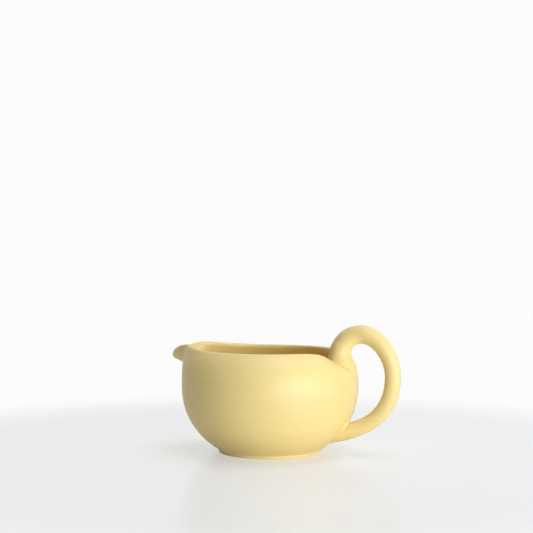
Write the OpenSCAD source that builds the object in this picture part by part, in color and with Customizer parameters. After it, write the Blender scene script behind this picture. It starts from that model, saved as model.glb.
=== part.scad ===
// Tea cooling pitcher. A round, closed-in bowl stands on a low turned foot. Its rim dips
// where the handle grows out of it, rises on the other side, and is pulled there into a
// short pouring lip. The handle is one tapered coil that loops up, over and back into the
// bowl's lower wall. All of it is one fired piece of fine clay, so it is one solid.
// Sizes are millimetres. The origin is the middle of the foot, on the table. The handle
// points along +X, the pouring lip along -X, and +Z is up.

/* [Bowl] */
// Diameter of the bowl at its widest place
bowl_d = 90; // [82:1:100]
// Height of the widest place
belly_z = 34; // [30:0.5:38]
// Height of the rim's top at the sides of the mouth
rim_z = 51.9; // [48:0.1:58]
// Diameter of the round part of the mouth, along the top of the rim
mouth_d = 68.8; // [62:0.2:74]
// Thickness of the wall from the foot to the belly
wall = 3; // [2.4:0.1:4]
// Thickness of the rounded rim
rim_wall = 2.6; // [2:0.1:3.4]
// Thickness of the floor above the foot's recess
floor_wall = 3; // [2.4:0.1:4.5]
// How far the curve stays upright below the belly
belly_hold_low = 16; // [12:0.5:19]
// How far the curve stays upright above the belly
belly_hold_high = 10.5; // [8:0.5:13]
// How far the shoulder keeps the slope that it has at the rim
shoulder_hold = 6.5; // [4:0.5:8]
// Slope of the shoulder where it meets the rim, in degrees above level
shoulder_slope = 34.5; // [26:0.5:46]

/* [Foot] */
// Outer diameter of the foot ring
foot_d = 52.4; // [46:0.2:58]
// Height of the foot ring's upright side
foot_h = 1.5; // [1:0.1:2.6]
// Width of the foot ring
foot_ring_w = 3.2; // [2.4:0.1:5]
// Depth of the turned recess inside the foot ring
foot_recess = 1.1; // [0.6:0.1:1.6]
// Rounding of the foot ring's two edges
foot_edge = 0.4; // [0.2:0.05:0.5]
// Slope at which the bowl leaves the foot, in degrees above level
foot_slope = 31; // [24:1:38]
// How far the bowl keeps that slope
foot_hold = 12; // [8:0.5:14]

/* [Rim line] */
// How far the rim dips at the handle
rim_dip = 6.5; // [3:0.1:7]
// Half of the angle that the dip spans, in degrees round the bowl
rim_dip_angle = 21; // [20:1:34]
// How far the mouth widens at the handle
handle_widening = 1.1; // [0:0.1:2.5]
// How much fuller the shoulder is under the handle
handle_fullness = 2; // [0:0.2:4]
// Half of the angle that the fuller shoulder spans
fullness_angle = 20; // [16:1:30]
// How far the rim rises beside the pouring lip
rim_rise = 3.2; // [1:0.1:4]
// Half of the angle that the rise spans
rim_rise_angle = 39; // [30:1:46]

/* [Pouring lip] */
// Reach of the pouring lip's tip beyond the belly
spout_reach = 8; // [4:0.1:10]
// How far the tip's channel lies below the raised rim
tip_drop = 6.2; // [3:0.1:8]
// Half of the angle that the lowered tip spans
tip_angle = 9; // [6:0.5:14]
// How far the mouth widens towards the pouring lip
spout_flare = 6.9; // [5:0.1:9.4]
// Half of the angle that this widening spans
spout_flare_angle = 58; // [44:1:62]
// Half of the angle that the beak spans
beak_angle = 12.5; // [8:0.5:13]
// Slope of the beak's underside at its tip, in degrees above level
beak_slope = 24; // [14:1:36]
// How far the beak's underside keeps that slope
beak_hold = 5.5; // [3.5:0.5:7]

/* [Handle] */
// Clear width between the belly and the handle, for a finger
finger_gap = 14.6; // [11:0.1:18]
// Height of the handle's top above the rim
handle_rise = 12.9; // [10:0.1:18]
// Depth below the rim's top of the place where the handle leaves its root
root_depth = 0.8; // [0:0.1:3]
// How far that place lies outside the middle of the rim
root_out = 1.4; // [0:0.1:2.5]
// Lean of the handle there, in degrees above level
root_lean = 81; // [76:1:94]
// Distance of the handle's highest place from there, outwards
crown_out = 10.7; // [9:0.1:13]
// Height of the handle's outermost place
handle_side_z = 39.6; // [34:0.1:42]
// Height at which the handle's axis meets the bowl again
joint_z = 10.9; // [9:0.1:15]
// Fall of the handle towards that joint, in degrees below level
joint_fall = 10; // [6:1:20]
// How long the handle keeps its lean above the root
root_hold = 4; // [3:0.1:6]
// How far the handle stays level before its highest place
crown_hold_in = 6.6; // [5:0.1:8]
// How far it stays level after its highest place
crown_hold_out = 8.8; // [7:0.1:11]
// How far it stays upright above its outermost place
side_hold_high = 9.9; // [7:0.1:13]
// How far it stays upright below its outermost place
side_hold_low = 19.4; // [14:0.1:22]
// How far it keeps its fall before the lower joint
joint_hold = 15; // [10:0.5:18]
// Thickness of the handle where it leaves its root
root_t = 11; // [9.6:0.1:12]
// Width that the root spreads to on the shoulder
root_spread = 18; // [12:0.5:20]
// How far the root's inner edge bulges into the mouth, under the rim
root_lap = 5.6; // [4:0.2:6.4]
// How far the root's inner edge keeps the handle's lean
root_hold_in = 3.4; // [2:0.2:5]
// How far the root's outer edge swells from the shoulder, outwards
root_swell = 3.2; // [2:0.2:6]
// How far that swelling reaches up
root_swell_up = 8; // [6:0.2:11]
// How far the root's outer edge keeps the handle's lean
root_hold_out = 1.2; // [0.4:0.2:3]
// Thickness just above the root
neck_t = 10; // [9:0.1:11]
// Thickness at its highest place
crown_t = 9.1; // [8:0.1:10.4]
// Thickness at its outermost place
side_t = 8.1; // [7:0.1:9.6]
// Thickness where it has turned in under the finger
low_t = 7.7; // [7:0.1:9]
// Thickness at the lower joint
joint_t = 8.6; // [7.8:0.1:9.8]

/* [Hidden] */

clay = [0.93, 0.85, 0.6];

// The bowl's outline has this many places round the bowl. They stand closer near the
// pouring lip, by this many degrees at the sides.
turn_steps = 96;
turn_crowding = 36;
// Places along each stretch of the outline
low_steps = 8;
high_steps = 9;
edge_steps = 4;
floor_steps = 3;
// Where the inner wall starts to turn into the floor, as a share of the lower curve
floor_turn = 0.14;
// Level part of the floor, and the part that keeps the wall's slope, as shares of its radius
floor_level = 0.5;
floor_rise = 0.25;
// Places round the handle, along its root and along the three stretches of its path
coil_sides = 24;
root_steps = 9;
coil_steps = [8, 9, 12];
// Where the root's two edges start in the wall, as shares of the upper curve at the handle
root_start_in = 0.86;
root_start_out = 0.05;
// How deep under the shoulder's surface the outer one starts
root_skin = 0.6;
// Where the handle has its thicknesses, counted in stretches of its path
coil_places = [0, 0.4, 1, 2, 2.62, 3];
// Where its cut along the lower wall begins
cut_start = 2.5;
// How much more upright the wall stands beside the pouring lip, in degrees
upright_turn = 35;
// How square the widening and the beak are: 2 is a plain bell
flare_power = 2.4;
beak_power = 2.5;

bowl_r = bowl_d / 2;
foot_r = foot_d / 2;
mouth_r = mouth_d / 2;
rim_r = rim_wall / 2;
floor_z = foot_recess + floor_wall;
tip_r = bowl_r + spout_reach - rim_r;
beak_reach = tip_r - mouth_r - spout_flare;

function mix(from, to, share) = from + (to - from) * share;
function smooth(share) = share * share * (3 - 2 * share);
function bell(angle, half, power = 2) = exp(-pow(abs(angle) / half, power));
function heading(angle) = [cos(angle), sin(angle)];

// A curve through two end points that leaves them towards the two inner points
function curve(p, t) =
    pow(1 - t, 3) * p[0] + 3 * t * pow(1 - t, 2) * p[1]
    + 3 * t * t * (1 - t) * p[2] + pow(t, 3) * p[3];
function curve_heading(p, t) =
    let (d = pow(1 - t, 2) * (p[1] - p[0]) + 2 * t * (1 - t) * (p[2] - p[1])
        + t * t * (p[3] - p[2]))
    atan2(d[1], d[0]);

// The rim's middle line round the mouth, by the angle from the handle, -180 to 180
function from_lip(a) = 180 - abs(a);
function flare(a) = bell(from_lip(a), spout_flare_angle, flare_power);
function beak(a) = bell(from_lip(a), beak_angle, beak_power);
function rim_out(a) =
    mouth_r + handle_widening * bell(a, rim_dip_angle)
    + spout_flare * flare(a) + beak_reach * beak(a);
function rim_top(a) =
    rim_z - rim_dip * bell(a, rim_dip_angle)
    + rim_rise * bell(from_lip(a), rim_rise_angle)
    - tip_drop * bell(from_lip(a), tip_angle);
// The way that the wall points where it ends in the rim: inwards over the shoulder,
// nearly upright beside the pouring lip, and outwards at the beak
function rim_heading(a) =
    let (shoulder = 180 - shoulder_slope)
    mix(shoulder - upright_turn * flare(a), beak_slope, beak(a));
function rim_hold(a) = mix(shoulder_hold, beak_hold, beak(a));

// The bowl's outer outline, as [distance from the axis, height]
low_curve = [
    [foot_r, foot_h],
    [foot_r, foot_h] + foot_hold * heading(foot_slope),
    [bowl_r, belly_z - belly_hold_low],
    [bowl_r, belly_z]
];
function high_curve(a) =
    let (to = rim_heading(a),
        end = [rim_out(a), rim_top(a) - rim_r] + rim_r * heading(to - 90))
    [
        [bowl_r, belly_z],
        [bowl_r, belly_z + belly_hold_high + handle_fullness * bell(a, fullness_angle)],
        end - rim_hold(a) * heading(to),
        end
    ];

function foot_points() =
    let (ring_in = foot_r - foot_ring_w, e = foot_edge)
    [
        [ring_in - foot_recess, foot_recess],
        [ring_in, e],
        [ring_in + e, 0],
        [foot_r - e, 0],
        [foot_r - e * (1 - sin(45)), e * (1 - cos(45))],
        [foot_r, e]
    ];
function inset(p, t, depth) = curve(p, t) + depth * heading(curve_heading(p, t) + 90);
function rim_points(a) =
    let (to = rim_heading(a), middle = [rim_out(a), rim_top(a) - rim_r])
    [for (i = [1 : edge_steps - 1])
        middle + rim_r * heading(to - 90 + 180 * i / edge_steps)];
function floor_points() =
    let (edge = inset(low_curve, floor_turn, wall),
        way = heading(curve_heading(low_curve, floor_turn)),
        p = [[0, floor_z], [floor_level * edge[0], floor_z], edge - floor_rise * edge[0] * way, edge])
    [for (i = [floor_steps - 1 : -1 : 1]) curve(p, i / floor_steps)];
function outline(a) =
    let (high = high_curve(a))
    concat(
        foot_points(),
        [for (i = [0 : low_steps]) curve(low_curve, i / low_steps)],
        [for (i = [1 : high_steps]) curve(high, i / high_steps)],
        rim_points(a),
        [for (i = [high_steps : -1 : 1])
            let (t = i / high_steps) inset(high, t, mix(wall, rim_wall, t))],
        [for (i = [low_steps : -1 : 0])
            inset(low_curve, mix(floor_turn, 1, i / low_steps), wall)],
        floor_points()
    );

function turn(i) = let (a = 360 * i / turn_steps) a + turn_crowding * sin(a);
function signed(a) = a > 180 ? a - 360 : a;

// The bowl: its outline goes round the axis and changes with the angle
module bowl() {
    outlines = [for (i = [0 : turn_steps - 1]) outline(signed(turn(i)))];
    n = len(outlines[0]);
    body = [for (i = [0 : turn_steps - 1]) for (p = outlines[i])
        [p[0] * cos(turn(i)), p[0] * sin(turn(i)), p[1]]];
    under = len(body);
    inside = under + 1;
    faces = [for (i = [0 : turn_steps - 1])
        let (a = i * n, b = ((i + 1) % turn_steps) * n)
        each concat(
            [[under, a, b]],
            [for (k = [0 : n - 2]) each
                [[a + k, a + k + 1, b + k + 1], [a + k, b + k + 1, b + k]]],
            [[a + n - 1, inside, b + n - 1]]
        )];
    polyhedron(concat(body, [[0, 0, foot_recess], [0, 0, floor_z]]), faces);
}

// The bowl's outer wall at a height below the belly: its distance from the axis and slope
low_outline = let (n = 5 * low_steps) [for (i = [0 : n]) curve(low_curve, i / n)];
function bowl_out(z) = lookup(z, [for (p = low_outline) [p[1], p[0]]]);
function bowl_slope(z) = let (span = 0.5) atan2(2 * span, bowl_out(z + span) - bowl_out(z - span));

// The handle's axis: from its root on the rim over the crown, down the outside and into
// the lower wall, as [distance from the bowl's axis, height]
root = [mouth_r + handle_widening + root_out, rim_z - root_depth];
crown = [root[0] + crown_out, rim_z + handle_rise - crown_t / 2];
side = [bowl_r + finger_gap + side_t / 2, handle_side_z];
joint = [bowl_out(joint_z), joint_z];
joint_bite = bowl_slope(joint_z) - joint_fall;
joint_end = joint - wall / 2 / sin(joint_bite) * heading(joint_fall);
coil_path = [
    [root, root + root_hold * heading(root_lean), crown - [crown_hold_in, 0], crown],
    [crown, crown + [crown_hold_out, 0], side + [0, side_hold_high], side],
    [side, side - [0, side_hold_low], joint_end + joint_hold * heading(joint_fall), joint_end]
];
coil_t = [root_t, neck_t, crown_t, side_t, low_t, joint_t];
function coil_thickness(u) =
    let (i = max([for (k = [0 : len(coil_t) - 2]) coil_places[k] <= u ? k : 0]),
        share = (u - coil_places[i]) / (coil_places[i + 1] - coil_places[i]))
    mix(coil_t[i], coil_t[i + 1], smooth(share));

// One ring of the coil: an ellipse about its middle, from one side of the loop's plane to
// the other
function ring(middle, across, half_w) =
    [for (i = [0 : coil_sides - 1])
        let (a = 360 * i / coil_sides, q = middle + cos(a) * across)
        [q[0], half_w * sin(a), q[1]]];

// The last stretch is cut more and more along the wall that it enters
function coil_cut(u) =
    u < cut_start ? 0 : smooth((u - cut_start) / (3 - cut_start)) / tan(joint_bite);
function coil_ring(u) =
    let (k = min(floor(u), 2), p = coil_path[k], way = curve_heading(p, u - k),
        half_t = coil_thickness(u) / 2)
    ring(curve(p, u - k), half_t * (heading(way + 90) + coil_cut(u) * heading(way)), half_t);

// Under its root the coil spreads over the shoulder and ends inside the wall. The root's
// inner edge runs down inside the mouth to the rim, its outer edge down the outside.
root_across = root_t / 2 * heading(root_lean + 90);
inner_start = inset(high_curve(0), root_start_in, wall / 2);
outer_start = inset(high_curve(0), root_start_out, root_skin);
inner_edge = [
    inner_start,
    inner_start - [root_lap, 0],
    root + root_across - root_hold_in * heading(root_lean),
    root + root_across
];
outer_edge = [
    outer_start,
    outer_start + [root_swell, root_swell_up],
    root - root_across - root_hold_out * heading(root_lean),
    root - root_across
];
function root_ring(t) =
    let (one = curve(inner_edge, t), other = curve(outer_edge, t))
    ring((one + other) / 2, (one - other) / 2, mix(root_spread, root_t, smooth(t)) / 2);

module handle() {
    rings = concat(
        [for (i = [0 : root_steps - 1]) root_ring(i / root_steps)],
        [for (k = [0 : 2]) for (i = [0 : coil_steps[k] - 1]) coil_ring(k + i / coil_steps[k])],
        [coil_ring(3)]
    );
    last = len(rings) - 1;
    n = coil_sides;
    polyhedron(
        [for (r = rings) each r],
        concat(
            [[for (i = [n - 1 : -1 : 0]) i]],
            [for (j = [0 : last - 1]) for (i = [0 : n - 1])
                let (a = j * n, b = a + n, m = (i + 1) % n)
                each [[a + i, a + m, b + m], [a + i, b + m, b + i]]],
            [[for (i = [0 : n - 1]) last * n + i]]
        )
    );
}

module pitcher() {
    color(clay) union() {
        bowl();
        handle();
    }
}

pitcher();
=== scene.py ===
# %% [markdown]
# # A tea cooling pitcher in fired clay
# The pitcher is one fired piece: a thrown bowl on a low turned foot, a pouring lip that
# was pulled out of the soft rim, and a rolled coil for a handle. We make it in the order
# of the potter's own work. First the imported model is loaded. It is the frame: it fixes
# where the pitcher stands and how big it is, and we keep its box, which the clay must not leave.

import math

import bmesh
import bpy
from mathutils import Matrix, Vector, bvhtree, kdtree, noise


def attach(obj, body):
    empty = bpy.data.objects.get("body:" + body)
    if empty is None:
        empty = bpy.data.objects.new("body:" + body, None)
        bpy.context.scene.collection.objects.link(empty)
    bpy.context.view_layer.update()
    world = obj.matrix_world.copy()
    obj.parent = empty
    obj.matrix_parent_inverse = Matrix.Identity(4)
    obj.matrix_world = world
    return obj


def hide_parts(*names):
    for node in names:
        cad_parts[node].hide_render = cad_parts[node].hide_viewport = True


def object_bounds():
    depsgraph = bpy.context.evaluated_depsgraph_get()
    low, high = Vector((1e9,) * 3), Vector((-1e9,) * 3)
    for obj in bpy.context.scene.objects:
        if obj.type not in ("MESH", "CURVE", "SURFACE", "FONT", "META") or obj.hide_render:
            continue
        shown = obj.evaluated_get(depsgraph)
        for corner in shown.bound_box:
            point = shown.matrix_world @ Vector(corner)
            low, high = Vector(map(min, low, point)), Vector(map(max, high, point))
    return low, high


MM = 0.001
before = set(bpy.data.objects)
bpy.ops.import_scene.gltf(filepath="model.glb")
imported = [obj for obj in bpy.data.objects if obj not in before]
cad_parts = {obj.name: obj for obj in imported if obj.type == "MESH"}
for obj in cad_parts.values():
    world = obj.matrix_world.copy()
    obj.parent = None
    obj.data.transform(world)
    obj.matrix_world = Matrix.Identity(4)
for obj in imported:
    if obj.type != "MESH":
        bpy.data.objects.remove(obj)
cad_low, cad_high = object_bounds()
print("frame box, mm:", [round(v / MM, 1) for v in (*cad_low, *cad_high)])

# %% [markdown]
# All sizes below are millimetres, as a potter would write them down, and one scaling at
# the end turns them into Blender's metres. The bowl's outline, the rim's path and the
# handle's path are smooth curves, so a few small helpers come first: a blend between two
# values, a soft bell that fades with the angle, and a curve through two end points with
# two handles, which is the curve that Blender's own pen draws too.

# %% Helpers for smooth forms
def mix(start, end, share):
    return start + (end - start) * share


def smooth(share):
    share = min(max(share, 0.0), 1.0)
    return share * share * (3 - 2 * share)


def bell(angle, half, power=2.0):
    return math.exp(-((abs(angle) / half) ** power))


def heading(degrees):
    return Vector((math.cos(math.radians(degrees)), math.sin(math.radians(degrees))))


def curve(p, t):
    s = 1 - t
    return s ** 3 * p[0] + 3 * t * s * s * p[1] + 3 * t * t * s * p[2] + t ** 3 * p[3]


def curve_heading(p, t):
    s = 1 - t
    way = s * s * (p[1] - p[0]) + 2 * t * s * (p[2] - p[1]) + t * t * (p[3] - p[2])
    return math.degrees(math.atan2(way.y, way.x))


def inset(p, t, depth):
    """A place on the curve, moved to the left of its way: from an outside into the clay."""
    return curve(p, t) + depth * heading(curve_heading(p, t) + 90)


print("at its half width, a bell has fallen to", round(bell(1, 1), 2))

# %% [markdown]
# These are the bowl's sizes. The rim isn't a plain circle: it dips where the handle grows
# out of it, rises on the other side, and ends there in the pouring lip. Each of these
# changes is a bell round the bowl, so they melt into each other like soft clay. A hold is
# the length over which a curve keeps the direction of its end, and angles round the bowl
# are counted in degrees from the handle.

# %% Sizes of the bowl
BOWL_R, BELLY_Z = 45.0, 34.0
BELLY_HOLD_LOW, BELLY_HOLD_HIGH = 16.0, 10.5
WALL, RIM_WALL = 3.0, 2.6
RIM_R = RIM_WALL / 2
MOUTH_R, RIM_Z = 34.4, 51.9
SHOULDER_HOLD, SHOULDER_SLOPE = 6.5, 34.5
RIM_DIP, RIM_DIP_ANGLE, HANDLE_WIDENING = 6.5, 21, 1.1
HANDLE_FULLNESS, FULLNESS_ANGLE = 2.0, 20
RIM_RISE, RIM_RISE_ANGLE = 3.2, 39
LIP_REACH, TIP_DROP, TIP_ANGLE, TIP_ROUNDING = 8.0, 6.2, 9, 0.4
TIP_R = BOWL_R + LIP_REACH - RIM_R
SPOUT_FLARE, SPOUT_FLARE_ANGLE, FLARE_POWER = 6.9, 58, 2.4
BEAK_ANGLE, BEAK_SLOPE, BEAK_HOLD, BEAK_POWER = 12.5, 24, 5.5, 2.5
UPRIGHT_TURN = 35


def flare(a):
    """How much the mouth has widened towards the lip, from 0 to 1."""
    return bell(180 - abs(a), SPOUT_FLARE_ANGLE, FLARE_POWER)


def beak(a):
    """How much the rim has bent over into the lip's narrow beak, from 0 to 1."""
    return bell(180 - abs(a), BEAK_ANGLE, BEAK_POWER)


def rim_middle(a):
    """The middle of the rounded rim, as (distance, height)."""
    out = (MOUTH_R + HANDLE_WIDENING * bell(a, RIM_DIP_ANGLE) + SPOUT_FLARE * flare(a)
           + (TIP_R - TIP_ROUNDING - MOUTH_R - SPOUT_FLARE) * beak(a))
    top = (RIM_Z - RIM_DIP * bell(a, RIM_DIP_ANGLE)
           + RIM_RISE * bell(180 - abs(a), RIM_RISE_ANGLE)
           - TIP_DROP * bell(180 - abs(a), TIP_ANGLE))
    return Vector((out, top - RIM_R))


def rim_half(a):
    """Half the rim's thickness, which is a little fuller at the lip's tip."""
    return RIM_R + TIP_ROUNDING * beak(a)


def rim_way(a):
    """The direction in which the outside runs into the rim, in degrees."""
    return mix(180 - SHOULDER_SLOPE - UPRIGHT_TURN * flare(a), BEAK_SLOPE, beak(a))


print("rim heights at handle, side and lip, mm:",
      [round(rim_middle(a).y + rim_half(a), 1) for a in (0, 90, 180)])

# %% [markdown]
# The outside is two curves that meet upright at the belly. Only the upper one changes
# round the bowl, because it follows the rim. The lower one is turned on the wheel and is
# the same all round.

# %% The two curves of the outside
FOOT_R, FOOT_H, FOOT_SLOPE, FOOT_HOLD = 26.2, 1.5, 31, 12.0
LOW = [Vector((FOOT_R, FOOT_H)), Vector((FOOT_R, FOOT_H)) + FOOT_HOLD * heading(FOOT_SLOPE),
       Vector((BOWL_R, BELLY_Z - BELLY_HOLD_LOW)), Vector((BOWL_R, BELLY_Z))]


def high_curve(a):
    """The outside from the belly to the rim."""
    end = rim_middle(a) + rim_half(a) * heading(rim_way(a) - 90)
    hold = mix(SHOULDER_HOLD, BEAK_HOLD, beak(a))
    full = BELLY_HOLD_HIGH + HANDLE_FULLNESS * bell(a, FULLNESS_ANGLE)
    return [Vector((BOWL_R, BELLY_Z)), Vector((BOWL_R, BELLY_Z + full)),
            end - hold * heading(rim_way(a)), end]


print("upper curve at the side, mm:", [tuple(round(v, 1) for v in p) for p in high_curve(90)])

# %% [markdown]
# The foot and the floor are the same all round too, so their points are made once. The
# foot ring stands on two small rounded edges, because a sharp edge of clay would chip.

# %% The foot and the floor
FOOT_RING_W, FOOT_RECESS, FOOT_EDGE, FOOT_STEPS = 3.2, 1.1, 0.4, 5
RECESS_STEPS, CORNER_FROM, CORNER_TO, CORNER_DROP = 6, 0.5, 0.12, 0.3
FLOOR_Z, FLOOR_TURN, FLOOR_LEVEL, FLOOR_RISE, FLOOR_STEPS = 4.1, 0.14, 0.5, 0.25, 16


def foot_points():
    """From the middle of the underside over the recess and round the foot ring."""
    ring_in = FOOT_R - FOOT_RING_W
    points = [Vector((ring_in * k / RECESS_STEPS, FOOT_RECESS)) for k in range(1, RECESS_STEPS)]
    points += [Vector((ring_in - CORNER_FROM, FOOT_RECESS)),
               Vector((ring_in - CORNER_TO, FOOT_RECESS - CORNER_DROP))]
    inner, outer = Vector((ring_in + FOOT_EDGE, FOOT_EDGE)), Vector((FOOT_R - FOOT_EDGE, FOOT_EDGE))
    for centre, start in ((inner, 180), (outer, 270)):
        points += [centre + FOOT_EDGE * heading(start + 90 * k / FOOT_STEPS)
                   for k in range(FOOT_STEPS + 1)]
    return points


def floor_points():
    """From the lower end of the inner wall to the middle of the floor."""
    edge = inset(LOW, FLOOR_TURN, WALL)
    way = heading(curve_heading(LOW, FLOOR_TURN))
    p = [Vector((0, FLOOR_Z)), Vector((FLOOR_LEVEL * edge.x, FLOOR_Z)),
         edge - FLOOR_RISE * edge.x * way, edge]
    return [curve(p, k / FLOOR_STEPS) for k in range(FLOOR_STEPS - 1, 0, -1)]


FOOT, FLOOR = foot_points(), floor_points()
print("points on the foot:", len(FOOT), "and on the floor:", len(FLOOR))

# %% [markdown]
# Now the stretches are joined. The outline runs from the recess under the foot, round the
# foot ring, up the outside, over the rim, down the inside and across the floor. The inside
# is the outside moved in by the wall, which thins towards the rim. The same number of
# points is used at every angle, so that a point can later be told by its number alone.

# %% The bowl's outline
LOW_STEPS, HIGH_STEPS, RIM_STEPS = 34, 34, 12
LOW_OUT = [curve(LOW, k / LOW_STEPS) for k in range(LOW_STEPS + 1)]
LOW_IN = [inset(LOW, mix(FLOOR_TURN, 1, k / LOW_STEPS), WALL) for k in range(LOW_STEPS, -1, -1)]


def outline(a):
    """The outline at an angle, each point as (distance, height)."""
    high, middle, way, half = high_curve(a), rim_middle(a), rim_way(a), rim_half(a)
    steps = [k / HIGH_STEPS for k in range(1, HIGH_STEPS + 1)]
    outside = [curve(high, t) for t in steps]
    rim = [middle + half * heading(way - 90 + 180 * k / RIM_STEPS) for k in range(1, RIM_STEPS)]
    inside = [inset(high, t, mix(WALL, 2 * half, t)) for t in reversed(steps)]
    return FOOT + LOW_OUT + outside + rim + inside + LOW_IN + FLOOR


side_outline = [Vector((0, FOOT_RECESS))] + outline(90) + [Vector((0, FLOOR_Z))]
print("points on the outline:", len(side_outline))

# %% [markdown]
# Throwing a bowl on the wheel is Blender's Spin. One half outline is drawn as a chain of
# edges and spun a full turn, with use_merge so that the last copy closes on the first.
# Each point carries its number along the outline in an integer layer, which the spin
# copies to all its turns. The alternative, writing down every vertex and face of the
# bowl, gives the same mesh but says nothing about how a bowl is made.

# %% Throw the bowl
TURN_STEPS, SAME_PLACE = 288, 1e-4
bowl = bmesh.new()
number = bowl.verts.layers.int.new("outline_number")
chain = []
for k, point in enumerate(side_outline):
    vert = bowl.verts.new((point.x, 0, point.y))
    vert[number] = k
    chain.append(vert)
chain_edges = [bowl.edges.new(pair) for pair in zip(chain, chain[1:])]
bmesh.ops.spin(bowl, geom=chain + chain_edges, cent=(0, 0, 0), axis=(0, 0, 1),
               angle=math.tau, steps=TURN_STEPS, use_merge=True)
bmesh.ops.remove_doubles(bowl, verts=bowl.verts, dist=SAME_PLACE)
print("thrown bowl:", len(bowl.verts), "points,", len(bowl.faces), "faces")

# %% [markdown]
# While the clay is soft, the potter bends the rim down for the handle and pulls the lip
# out with a finger. Here every point of the thrown bowl moves to the place that the
# outline has at its own angle. The turns are also pushed closer together near the lip,
# where the form changes fastest.

# %% Bend the rim and pull the pouring lip
TURN_CROWDING = 36
outlines = {}
for vert in bowl.verts:
    if not 0 < vert[number] < len(side_outline) - 1:
        continue
    turn = math.degrees(math.atan2(vert.co.y, vert.co.x)) % 360
    angle = round(turn + TURN_CROWDING * math.sin(math.radians(turn)), 6)
    if angle not in outlines:
        outlines[angle] = outline(angle - 360 if angle > 180 else angle)
    point = outlines[angle][vert[number] - 1]
    vert.co = (point.x * math.cos(math.radians(angle)),
               point.x * math.sin(math.radians(angle)), point.y)
bmesh.ops.recalc_face_normals(bowl, faces=bowl.faces)
print("lip tip reaches", round(max(-v.co.x for v in bowl.verts), 2), "mm")

# %% [markdown]
# The handle is a coil, rolled thicker at one end. Its path leaves the rim, goes over the
# crown, down the outside and into the lower wall, in three curves that meet smoothly. To
# end it inside the wall, we have to know how far out the bowl is at the joint and how
# steeply its wall stands there, measured half a millimetre above and below.

# %% The handle's path
HANDLE_RISE, FINGER_GAP, SIDE_Z, JOINT_Z, JOINT_FALL = 12.9, 14.6, 39.6, 10.9, 10
ROOT_OUTWARDS, ROOT_DEPTH, ROOT_LEAN, CROWN_OUTWARDS = 1.4, 0.8, 81, 10.7
ROOT_HOLD, CROWN_HOLD_IN, CROWN_HOLD_OUT = 4.0, 6.6, 8.8
SIDE_HOLD_HIGH, SIDE_HOLD_LOW, JOINT_HOLD = 9.9, 19.4, 15.0
ROOT_T, NECK_T, CROWN_T, SIDE_T, LOW_T, JOINT_T = 11.0, 10.0, 9.1, 8.1, 7.7, 8.6
READ_STEPS, PROBE = 200, 0.5
low_places = [curve(LOW, k / READ_STEPS) for k in range(READ_STEPS + 1)]


def bowl_out(z):
    """How far out the bowl's surface is, at a height below the belly."""
    k = next(i for i in range(READ_STEPS) if low_places[i + 1].y >= z)
    a, b = low_places[k], low_places[k + 1]
    return mix(a.x, b.x, (z - a.y) / (b.y - a.y))


root = Vector((MOUTH_R + HANDLE_WIDENING + ROOT_OUTWARDS, RIM_Z - ROOT_DEPTH))
crown = Vector((root.x + CROWN_OUTWARDS, RIM_Z + HANDLE_RISE - CROWN_T / 2))
side = Vector((BOWL_R + FINGER_GAP + SIDE_T / 2, SIDE_Z))
wall_run = bowl_out(JOINT_Z + PROBE) - bowl_out(JOINT_Z - PROBE)
joint_slope = math.degrees(math.atan2(2 * PROBE, wall_run))
joint_bite = math.radians(joint_slope - JOINT_FALL)
joint_end = (Vector((bowl_out(JOINT_Z), JOINT_Z))
             - WALL / 2 / math.sin(joint_bite) * heading(JOINT_FALL))
COIL_PATH = [
    [root, root + ROOT_HOLD * heading(ROOT_LEAN), crown - Vector((CROWN_HOLD_IN, 0)), crown],
    [crown, crown + Vector((CROWN_HOLD_OUT, 0)), side + Vector((0, SIDE_HOLD_HIGH)), side],
    [side, side - Vector((0, SIDE_HOLD_LOW)), joint_end + JOINT_HOLD * heading(JOINT_FALL),
     joint_end],
]
print("slope of the wall at the lower joint:", round(joint_slope, 1), "degrees")

# %% [markdown]
# Under its root the coil was pressed over the rim and smeared down the shoulder, so there
# its two edges follow two curves of their own instead of one path. The inner edge bulges
# into the mouth, and the outer one swells from just under the shoulder's surface.

# %% The coil's root
ROOT_SPREAD, ROOT_START_IN, ROOT_START_OUT, ROOT_SKIN = 18.0, 0.86, 0.05, 0.6
ROOT_LAP, ROOT_HOLD_IN, ROOT_EXTRA_LEAN = Vector((10.0, -0.5)), 4.2, 3
ROOT_SWELL, ROOT_HOLD_OUT = Vector((3.2, 8.0)), 1.2
root_across = ROOT_T / 2 * heading(ROOT_LEAN + 90)
high_at_handle = high_curve(0)
start_in = inset(high_at_handle, ROOT_START_IN, WALL / 2)
start_out = inset(high_at_handle, ROOT_START_OUT, ROOT_SKIN)
ROOT_IN = [start_in, start_in - ROOT_LAP,
           root + root_across - ROOT_HOLD_IN * heading(ROOT_LEAN + ROOT_EXTRA_LEAN),
           root + root_across]
ROOT_OUT = [start_out, start_out + ROOT_SWELL,
            root - root_across - ROOT_HOLD_OUT * heading(ROOT_LEAN), root - root_across]
print("innermost place of the root, mm:",
      round(min(curve(ROOT_IN, k / 20).x for k in range(21)), 1))

# %% [markdown]
# A coil needs a cross-section at every place. Along the root it lies between the two
# edges. Along the path it is a circle, whose thickness changes softly from one measured
# place to the next. The last part is sheared, so that the end lies flat along the wall.

# %% The coil's sections
THICKNESS = [ROOT_T, NECK_T, CROWN_T, SIDE_T, LOW_T, JOINT_T]
THICKNESS_AT = [0, 0.4, 1, 2, 2.62, 3]
CUT_START = 2.5


def coil_thickness(u):
    """Thickness at a place on the path, counted in its three stretches."""
    k = max(i for i in range(len(THICKNESS) - 1) if THICKNESS_AT[i] <= u)
    share = (u - THICKNESS_AT[k]) / (THICKNESS_AT[k + 1] - THICKNESS_AT[k])
    return mix(THICKNESS[k], THICKNESS[k + 1], smooth(share))


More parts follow.
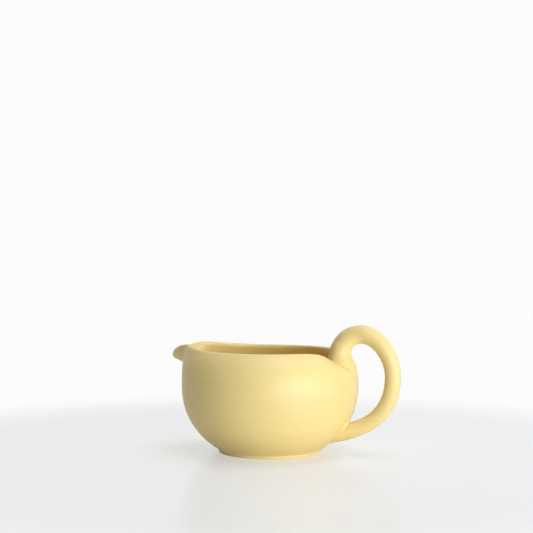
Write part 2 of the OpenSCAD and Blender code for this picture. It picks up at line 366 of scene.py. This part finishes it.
def coil_section(u):
    """Middle, half width in the loop's plane and half width across it, at a place on the
    coil: 0 to 1 is the root, 1 to 4 the three stretches of the path."""
    if u < 1:
        one, other = curve(ROOT_IN, u), curve(ROOT_OUT, u)
        return (one + other) / 2, (one - other) / 2, mix(ROOT_SPREAD, ROOT_T, smooth(u)) / 2
    k = min(int(u) - 1, 2)
    path, t = COIL_PATH[k], u - 1 - k
    way, half = curve_heading(path, t), coil_thickness(u - 1) / 2
    cut = smooth((u - 1 - CUT_START) / (3 - CUT_START)) / math.tan(joint_bite)
    return curve(path, t), half * (heading(way + 90) + cut * heading(way)), half


print("coil's thickness along its path, mm:", [round(coil_thickness(k / 2), 1) for k in range(7)])

# %% [markdown]
# A sweep can be modelled as one ring of points that is extruded again and again, each new
# ring being moved to the next place on the path. A curve object with a bevel would be
# quicker to set up, but it can't widen into the root or follow the wall at the joint.

# %% Roll the coil
COIL_SIDES, STRETCH_STEPS = 48, (30, 36, 44, 60)
coil_places = [stretch + k / steps for stretch, steps in enumerate(STRETCH_STEPS)
               for k in range(steps)] + [len(STRETCH_STEPS)]


def place_ring(verts, u):
    """Move a ring of points to the coil's section at a place."""
    middle, across, half_w = coil_section(u)
    for k, vert in enumerate(verts):
        a = math.tau * k / COIL_SIDES
        q = middle + math.cos(a) * across
        vert.co = (q.x, half_w * math.sin(a), q.y)


coil = bmesh.new()
ring = bmesh.ops.create_circle(coil, cap_ends=False, radius=1, segments=COIL_SIDES)["verts"]
place_ring(ring, coil_places[0])
ring_edges = coil.edges[:]
bmesh.ops.contextual_create(coil, geom=ring_edges)
for u in coil_places[1:]:
    new = bmesh.ops.extrude_edge_only(coil, edges=ring_edges)["geom"]
    ring = [e for e in new if isinstance(e, bmesh.types.BMVert)]
    ring_edges = [e for e in new if isinstance(e, bmesh.types.BMEdge)]
    place_ring(ring, u)
bmesh.ops.contextual_create(coil, geom=ring_edges)
bmesh.ops.recalc_face_normals(coil, faces=coil.faces)
print("coil:", len(coil.faces), "faces, crown at", round(max(v.co.z for v in coil.verts), 2))

# %% [markdown]
# Luting the coil on turns two pieces of clay into one. A voxel remesh does the same: it
# fills everything that lies inside either shape and lays one even skin over the result,
# so no wall is left inside the joint. A Boolean would also join them, but its seam is a
# knife-sharp line of uneven faces, and fired clay never has one. The two old shapes are
# kept as search trees, because the skin will be laid back on them.

# %% Join the clay
VOXEL = 0.82
bowl_form = bvhtree.BVHTree.FromBMesh(bowl)
coil_form = bvhtree.BVHTree.FromBMesh(coil)
coil_mesh = bpy.data.meshes.new("coil")
coil.to_mesh(coil_mesh)
bowl.from_mesh(coil_mesh)
bpy.data.meshes.remove(coil_mesh)
coil.free()
wet = bpy.data.meshes.new("pitcher_clay")
bowl.to_mesh(wet)
bowl.free()
pitcher = bpy.data.objects.new("pitcher_clay", wet)
bpy.context.scene.collection.objects.link(pitcher)
remesh = pitcher.modifiers.new("one skin", "REMESH")
remesh.mode = "VOXEL"
remesh.voxel_size = VOXEL
remesh.use_smooth_shade = True
skin = bpy.data.meshes.new_from_object(
    pitcher.evaluated_get(bpy.context.evaluated_depsgraph_get()))
pitcher.modifiers.clear()
pitcher.data = skin
print("one skin:", len(skin.vertices), "points,", len(skin.polygons), "faces")

# %% [markdown]
# Where fine forms need more points, at the foot's edge and along the seam between coil and
# bowl, the faces are subdivided first. The alternative is a smaller voxel everywhere, which
# would make the mesh several times heavier for the sake of two narrow bands.

# %% Finer faces at the seam and the foot
JOINT_HALF_W, JOINT_FROM = 12, 25
SEAM_FINE, SEAM_FINEST = 1.5, 0.9
FOOT_FINE_Z, FOOT_FINE_FROM = 2.2, 21
clay = bmesh.new()
clay.from_mesh(pitcher.data)


def near_seam(reach):
    """The skin's points on the handle's side that have both old shapes within a reach."""
    return {v for v in clay.verts if abs(v.co.y) < JOINT_HALF_W and v.co.x > JOINT_FROM
            and bowl_form.find_nearest(v.co, reach)[0] and coil_form.find_nearest(v.co, reach)[0]}


def subdivide(points):
    """Cut every edge that joins two of the points in half."""
    edges = [e for e in clay.edges if points.issuperset(e.verts)]
    bmesh.ops.subdivide_edges(clay, edges=edges, cuts=1, use_grid_fill=True)


subdivide(near_seam(SEAM_FINE))
subdivide(near_seam(SEAM_FINEST))
subdivide({v for v in clay.verts
           if v.co.z < FOOT_FINE_Z and math.hypot(v.co.x, v.co.y) > FOOT_FINE_FROM})
print("points in the skin:", len(clay.verts))

# %% [markdown]
# A voxel skin cuts small corners, so each point is laid back on the nearer of the two old
# shapes. The seam then runs through the edges that join a point of the bowl to a point of
# the coil, and it is kept as a search tree of places for the next step.

# %% Lay the skin on the thrown and rolled forms
is_coil = {}
for vert in clay.verts:
    on_bowl, on_coil = bowl_form.find_nearest(vert.co), coil_form.find_nearest(vert.co)
    is_coil[vert] = on_coil[3] < on_bowl[3]
    vert.co = on_coil[0] if is_coil[vert] else on_bowl[0]
seam_edges = [edge for edge in clay.edges if is_coil[edge.verts[0]] != is_coil[edge.verts[1]]]
seam = kdtree.KDTree(len(seam_edges))
for k, edge in enumerate(seam_edges):
    seam.insert((edge.verts[0].co + edge.verts[1].co) / 2, k)
seam.balance()
print("edges over the seam:", len(seam_edges))

# %% [markdown]
# Now the joint is worked. smooth_vert moves each point towards the middle of its neighbours,
# like a wet sponge. Below the root, under the finger gap, the clay was smeared down the
# shoulder until the seam was gone, so there the sponge works for long. Higher up, at the
# root's two sides, a fine crease was left: it gets little of the sponge and is pressed in
# along the seam, as with the edge of a wooden tool. The lower joint keeps a finer one.

# %% Smear the joint and leave a crease
EVERY_WAY = {"use_axis_x": True, "use_axis_y": True, "use_axis_z": True}
SPONGE_SHARE = 0.5
CREASE_END, CREASE_DEPTH, LOW_CREASE_DEPTH, CREASE_HALF_W = 42.0, 1.15, 0.5, 0.5
LOW_JOINT_TOP = 20
SMEAR_REACH, SMEAR_FROM, SMEAR_LOW = 2.6, 40, 33
SMEARS = ((CREASE_END + 0.6, 6), (CREASE_END, 16), (CREASE_END - 1, 30))


def sponge(points, times):
    """Draw each of the points towards the middle of its neighbours, some times over."""
    points = list(points)
    for _ in range(times):
        bmesh.ops.smooth_vert(clay, verts=points, factor=SPONGE_SHARE, **EVERY_WAY)


def crease_depth(vert):
    """Deepest on the seam, 0 at the crease's edge and where it ends under the finger gap."""
    low = vert.co.z < LOW_JOINT_TOP
    deep = LOW_CREASE_DEPTH if low else CREASE_DEPTH * smooth(vert.co.z - CREASE_END)
    return deep * (1 - smooth(seam.find(vert.co)[2] / CREASE_HALF_W))


crease = {v: crease_depth(v) for v in near_seam(CREASE_HALF_W)}
sponge(clay.verts, 1)
sponge([v for v in near_seam(SEAM_FINE) if v.co.z > LOW_JOINT_TOP], 1)
for top, times in SMEARS:
    sponge([v for v in near_seam(SMEAR_REACH)
            if v.co.x > SMEAR_FROM and SMEAR_LOW < v.co.z < top], times)
clay.normal_update()
for vert, normal in [(v, v.normal.copy()) for v in crease]:
    vert.co -= crease[vert] * normal
sponge(crease, 1)
print("points in the crease:", len(crease))

# %% [markdown]
# The wheel leaves rings in the wall, here only a few hundredths of a millimetre deep. The
# widest of them is a faint band round the belly, where two strokes of the turning tool met.
# And no rolled coil is perfectly even. All of it is real geometry: each point moves a
# little along its own normal, by a noise that looks at all three directions for the coil
# and almost only at the height for the rings. A share of the distance from the axis is
# added to the height, so that the rings go on over the flat floor. They are read at two
# places of the noise, one for wide rings and one for fine ones. No point may leave the
# frame's box.

# %% Rings from the wheel
RING_DEPTH, RING_DRIFT, OUT_SHARE = 0.045, 0.02, 0.6
WIDE_RINGS, FINE_RINGS, FINE_SHARE = 0.55, 1.3, 0.5
WIDE_PLACE, FINE_PLACE = 3.1, 8.7
BAND_Z, BAND_DEPTH, BAND_HALF_W = 36.2, 0.04, 1.4
COIL_FROM, COIL_BLEND, COIL_UNEVEN, COIL_WAVES = 44.5, 1.5, 0.05, 0.09
BOX_MARGIN = 0.005
box_low = [v / MM + BOX_MARGIN for v in cad_low]
box_high = [v / MM - BOX_MARGIN for v in cad_high]


def unevenness(co):
    """How far the clay stands out at a place, by the wheel or by the rolling hand."""
    out = math.hypot(co.x, co.y)
    along = co.z + OUT_SHARE * out
    rings = noise.noise((WIDE_PLACE, RING_DRIFT * co.x, along * WIDE_RINGS))
    rings += FINE_SHARE * noise.noise((FINE_PLACE, 0, along * FINE_RINGS))
    wall = RING_DEPTH * rings
    if out > BOWL_R - WALL / 2:
        wall -= BAND_DEPTH * bell(co.z - BAND_Z, BAND_HALF_W)
    thrown = 1 - smooth((out - COIL_FROM) / COIL_BLEND) * (co.x > 0)
    return mix(COIL_UNEVEN * noise.noise(co * COIL_WAVES), wall, thrown)


clay.normal_update()
for vert in clay.verts:
    vert.co += smooth(vert.co.z / FOOT_H) * unevenness(vert.co) * vert.normal
    vert.co = [min(max(v, least), most) for v, least, most in zip(vert.co, box_low, box_high)]
print("highest place, mm:", round(max(v.co.z for v in clay.verts), 2))

# %% [markdown]
# The modelling is done, so the millimetres become metres. The points themselves are
# scaled, not the object, which keeps the object's own scale at one. Smooth shading lets
# the fine faces look like one skin.

# %% Into metres
bmesh.ops.transform(clay, matrix=Matrix.Scale(MM, 4), verts=clay.verts)
clay.to_mesh(pitcher.data)
clay.free()
for face in pitcher.data.polygons:
    face.use_smooth = True
pitcher.data.name = "pitcher_clay"
print("pitcher:", len(pitcher.data.vertices), "points,", len(pitcher.data.polygons), "faces")

# %% [markdown]
# A finish in Blender is a small network of nodes, each of which passes on a value or a
# colour. Three helpers keep it readable: one gives a node its inputs, which are either
# plain values or come from another node, one adds a node and does the same for it, and
# one does arithmetic with two numbers.

# %% Helpers for finishes
def feed(tree, node, inputs):
    """Write each plain value into its input, and link each output of another node."""
    for key, value in inputs.items():
        if isinstance(value, bpy.types.NodeSocket):
            tree.links.new(value, node.inputs[key])
        else:
            node.inputs[key].default_value = value


def add_node(tree, kind, inputs, **settings):
    """Add a node of a kind, change its settings and give it its inputs."""
    node = tree.nodes.new("ShaderNode" + kind)
    for key, value in settings.items():
        setattr(node, key, value)
    feed(tree, node, inputs)
    return node


def number_math(tree, operation, first, second):
    """The result of one operation on two numbers."""
    return add_node(tree, "Math", {0: first, 1: second}, operation=operation).outputs["Value"]


finish = bpy.data.materials.new("fired_clay")
finish.use_nodes = True
fired = finish.node_tree
print("the finish starts with:", [node.name for node in fired.nodes])

# %% [markdown]
# Fired clay has patterns of two kinds. Its grain, the colour from the kiln and the worn
# places go in all directions. The turning lines, and the faint bands of colour between
# them, come from noises in one direction only: they read the height, plus a share of the
# distance from the axis, so that the lines close into rings also on the flat foot. All
# patterns are procedural and read Object coordinates, so they sit still in the clay.

# %% Patterns in the clay
place = add_node(fired, "TexCoord", {}).outputs["Object"]
up = add_node(fired, "SeparateXYZ", {"Vector": place}).outputs["Z"]
flat = add_node(fired, "VectorMath", {0: place, 1: (1, 1, 0)}, operation="MULTIPLY")
from_axis = add_node(fired, "VectorMath", {0: flat.outputs["Vector"]}, operation="LENGTH")
out_part = number_math(fired, "MULTIPLY", from_axis.outputs["Value"], OUT_SHARE)
along = number_math(fired, "ADD", up, out_part)


def pattern(name, scale, detail, line=None):
    """A noise in the clay: in all directions, or in one if it gets a line to read."""
    reads = {"Vector": place} if line is None else {"W": line}
    node = add_node(fired, "TexNoise", {"Scale": scale, "Detail": detail, **reads},
                    name=name, label=name, noise_dimensions="3D" if line is None else "1D")
    return node.outputs["Fac"]


kiln = pattern("kiln_colour", scale=22, detail=3)
grain = pattern("clay_grain", scale=1500, detail=3)
lines = pattern("turning_lines", scale=900, detail=4, line=along)
bands = pattern("turning_bands", scale=210, detail=3, line=along)
wear = pattern("worn_sheen", scale=240, detail=3)
print("nodes for the patterns:", len(fired.nodes))

# %% [markdown]
# The clay is straw yellow. Its colour drifts a little between two close tones, half by the
# kiln and half by the turned bands, and a fine grain of two more tones lies over it.

# %% The clay's colour
STRAW, DEEP_STRAW = (0.86, 0.685, 0.28, 1), (0.80, 0.615, 0.215, 1)
PALE_GRAIN, DARK_GRAIN = (0.88, 0.71, 0.32, 1), (0.79, 0.605, 0.205, 1)
GRAIN_SHARE = 0.3


def colour_mix(name, share, first, second):
    """The first colour, with a share of the second in it."""
    return add_node(fired, "Mix", {"Factor": share, "A": first, "B": second},
                    name=name, label=name, data_type="RGBA").outputs["Result"]


drift = number_math(fired, "MULTIPLY", number_math(fired, "ADD", kiln, bands), 0.5)
body = colour_mix("kiln_drift", drift, STRAW, DEEP_STRAW)
speck = colour_mix("grain_colour", grain, DARK_GRAIN, PALE_GRAIN)
clay_colour = colour_mix("clay_colour", GRAIN_SHARE, body, speck)
print("nodes with the colour:", len(fired.nodes))

# %% [markdown]
# The surface is bare and matt with a broad soft sheen, as fine clay gets from burnishing
# and use, so a thin rough coat lies over the body. The grain and the turning lines are
# felt with a finger too: two bumps tilt the light, the lines on top of the grain. Their
# heights are a few hundredths of a millimetre, written in metres as Blender reads them.

# %% The clay's surface
SOFT_SHEEN = {"Specular IOR Level": 0.5, "Coat Weight": 0.2, "Coat Roughness": 0.5,
              "Sheen Weight": 0.1, "Sheen Roughness": 0.3}
SMOOTHEST, ROUGHEST = 0.42, 0.55
GRAIN_HEIGHT, LINE_HEIGHT, BUMP_SHARE = 0.00006, 0.00004, 0.5
shader = fired.nodes["Principled BSDF"]
rough = add_node(fired, "MapRange", {"Value": wear, "To Min": SMOOTHEST, "To Max": ROUGHEST})
grain_bump = add_node(fired, "Bump", {"Distance": GRAIN_HEIGHT, "Strength": BUMP_SHARE,
                                      "Height": grain})
line_bump = add_node(fired, "Bump", {"Distance": LINE_HEIGHT, "Strength": BUMP_SHARE,
                                     "Height": lines, "Normal": grain_bump.outputs["Normal"]})
feed(fired, shader, SOFT_SHEEN)
feed(fired, shader, {"Base Color": clay_colour, "Roughness": rough.outputs["Result"],
                     "Normal": line_bump.outputs["Normal"]})

pitcher.data.materials.clear()
pitcher.data.materials.append(finish)
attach(pitcher, "root")
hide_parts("pitcher")
print("finish nodes:", len(fired.nodes))

# %% [markdown]
# The pitcher stands on a plain pale table: one flat face that is far wider than the
# picture. It belongs to the picture only, not to the pitcher.

# %% The table
TABLE_HALF = 4
board = bmesh.new()
bmesh.ops.create_grid(board, x_segments=1, y_segments=1, size=TABLE_HALF)
table_mesh = bpy.data.meshes.new("table")
board.to_mesh(table_mesh)
board.free()
table = bpy.data.objects.new("table", table_mesh)
bpy.context.scene.collection.objects.link(table)
print("table:", 2 * TABLE_HALF, "m wide")

# %% [markdown]
# Round about, the table runs out into a white background. Only camera, glossy and
# transmission rays see that white, so it can be seen and mirrored but adds nothing to the
# soft light on the clay. The table and the room both need this, so it becomes two helpers.

# %% The white background
WHITE = (0.965, 0.97, 0.965, 1)


def white_seen(tree):
    """1 for rays that see the background: straight, mirrored or through."""
    rays = add_node(tree, "LightPath", {}).outputs
    seen_or_mirrored = number_math(tree, "MAXIMUM", rays["Is Camera Ray"], rays["Is Glossy Ray"])
    return number_math(tree, "MAXIMUM", seen_or_mirrored, rays["Is Transmission Ray"])


def cover_with_white(tree, share, plain, white, output):
    """Send a plain shader to the output, with a share of white over it."""
    both = add_node(tree, "MixShader", {"Fac": share, 1: plain, 2: white})
    feed(tree, tree.nodes[output], {"Surface": both.outputs["Shader"]})


print("white of the background:", WHITE[:3])

# %% [markdown]
# The table has a slight gloss, which mirrors the pitcher softly at this low angle. Its own
# colour fades to white with the distance from the pitcher. Close by, some white is mixed in
# as well, which keeps the table pale and leaves the shadow.

# %% The table's finish
TABLE_FINISH = {"Base Color": (0.87, 0.885, 0.885, 1), "Roughness": 0.25,
                "Specular IOR Level": 0.42}
FADE_FROM, FADE_TO, WHITE_CLOSE_BY = 0.16, 0.27, 0.45
table_finish = bpy.data.materials.new("pale_table")
table_finish.use_nodes = True
tree = table_finish.node_tree
top_face = tree.nodes["Principled BSDF"]
feed(tree, top_face, TABLE_FINISH)
glow = add_node(tree, "Emission", {"Color": WHITE})
spot = add_node(tree, "TexCoord", {}).outputs["Object"]
away = add_node(tree, "VectorMath", {0: spot}, operation="LENGTH")
fade = add_node(tree, "MapRange", {"Value": away.outputs["Value"], "From Min": FADE_FROM,
                                   "From Max": FADE_TO, "To Min": WHITE_CLOSE_BY},
                interpolation_type="SMOOTHSTEP")
white_share = number_math(tree, "MULTIPLY", fade.outputs["Result"], white_seen(tree))
cover_with_white(tree, white_share, top_face.outputs["BSDF"], glow.outputs["Emission"],
                 "Material Output")
table.data.materials.append(table_finish)
print("table's nodes:", len(tree.nodes))

# %% [markdown]
# The room around is a world that is brighter near the horizon than overhead, and it is
# plain white to the camera. It has a warm tint, as light has that comes back from the
# walls of a room. Daylight, which the next step uses too, is a touch cooler.

# %% The room
ROOM_LOW, ROOM_HIGH = 0.15, 0.04
LOW_UP_TO, HIGH_FROM = 0.1, 0.6
DAYLIGHT, WARM = (0.97, 1.0, 1.08), (1.0, 0.95, 0.86)
world = bpy.data.worlds.new("pale room")
bpy.context.scene.world = world
world.use_nodes = True
tree = world.node_tree
sky_way = add_node(tree, "TexCoord", {}).outputs["Generated"]
sky_up = add_node(tree, "SeparateXYZ", {"Vector": sky_way}).outputs["Z"]
level = add_node(tree, "MapRange", {"Value": sky_up, "From Min": LOW_UP_TO,
                                    "From Max": HIGH_FROM, "To Min": ROOM_LOW,
                                    "To Max": ROOM_HIGH})
room = tree.nodes["Background"]
feed(tree, room, {"Color": (*WARM, 1), "Strength": level.outputs["Result"]})
seen = add_node(tree, "Background", {"Color": WHITE})
cover_with_white(tree, white_seen(tree), room.outputs["Background"],
                 seen.outputs["Background"], "World Output")
print("room's nodes:", len(tree.nodes))

# %% [markdown]
# The light is a low, wide window in front, a little to the handle's side, with a soft sky
# above and two weak glows from behind that draw the edges. The window is low, so the near
# rim keeps its light out of the hollow. All lamps stand a metre from the bowl's middle.

# %% The light
BOWL_MIDDLE, LAMP_DISTANCE = Vector((0, 0, 0.035)), 1.0
WINDOW_SIZE, SOFT_SIZE = (0.9, 0.28), (0.7, 0.55)


def lamp(name, azimuth, elevation, size, power, tint):
    """A soft rectangular lamp that looks at the bowl. Azimuth 0 is +X, the handle's side."""
    light = bpy.data.lights.new(name, "AREA")
    light.shape = "RECTANGLE"
    light.size, light.size_y = size
    light.energy, light.color = power, tint
    a, e = math.radians(azimuth), math.radians(elevation)
    way = Vector((math.cos(a) * math.cos(e), math.sin(a) * math.cos(e), math.sin(e)))
    obj = bpy.data.objects.new(name, light)
    obj.location = BOWL_MIDDLE + LAMP_DISTANCE * way
    obj.rotation_euler = (-way).to_track_quat("-Z", "Y").to_euler()
    bpy.context.scene.collection.objects.link(obj)


lamp("window", azimuth=-35, elevation=6, size=WINDOW_SIZE, power=8.7, tint=DAYLIGHT)
lamp("sky", azimuth=0, elevation=80, size=SOFT_SIZE, power=4.7, tint=DAYLIGHT)
lamp("window_edge", azimuth=60, elevation=45, size=SOFT_SIZE, power=1.4, tint=WARM)
lamp("back_glow", azimuth=140, elevation=45, size=SOFT_SIZE, power=1.5, tint=WARM)
print("lamps:", len(bpy.data.lights))

# %% [markdown]
# The camera stands where the photograph was taken: eighteen degrees round from the side
# of the bowl, a little above the rim, and about fifty-six centimetres away. It looks
# almost level, so the pitcher lies below the middle of the picture.

# %% The camera
LENS, SENSOR_W = 74.57, 36
STAND = Vector((172.6, -536.95, 92.5)) * MM
LOOK = Vector((-0.309, 0.951, 0.0028))
view = bpy.data.cameras.new("photograph")
view.lens, view.sensor_width = LENS, SENSOR_W
camera = bpy.data.objects.new("photograph", view)
camera.location = STAND
camera.rotation_euler = LOOK.to_track_quat("-Z", "Y").to_euler()
bpy.context.scene.collection.objects.link(camera)
bpy.context.scene.camera = camera
print("camera's distance, mm:", round(math.hypot(*STAND.xy) / MM))

# %% [markdown]
# Standard view transform: a colour shows as it is written.

# %% The view transform
bpy.context.scene.view_settings.view_transform = "Standard"
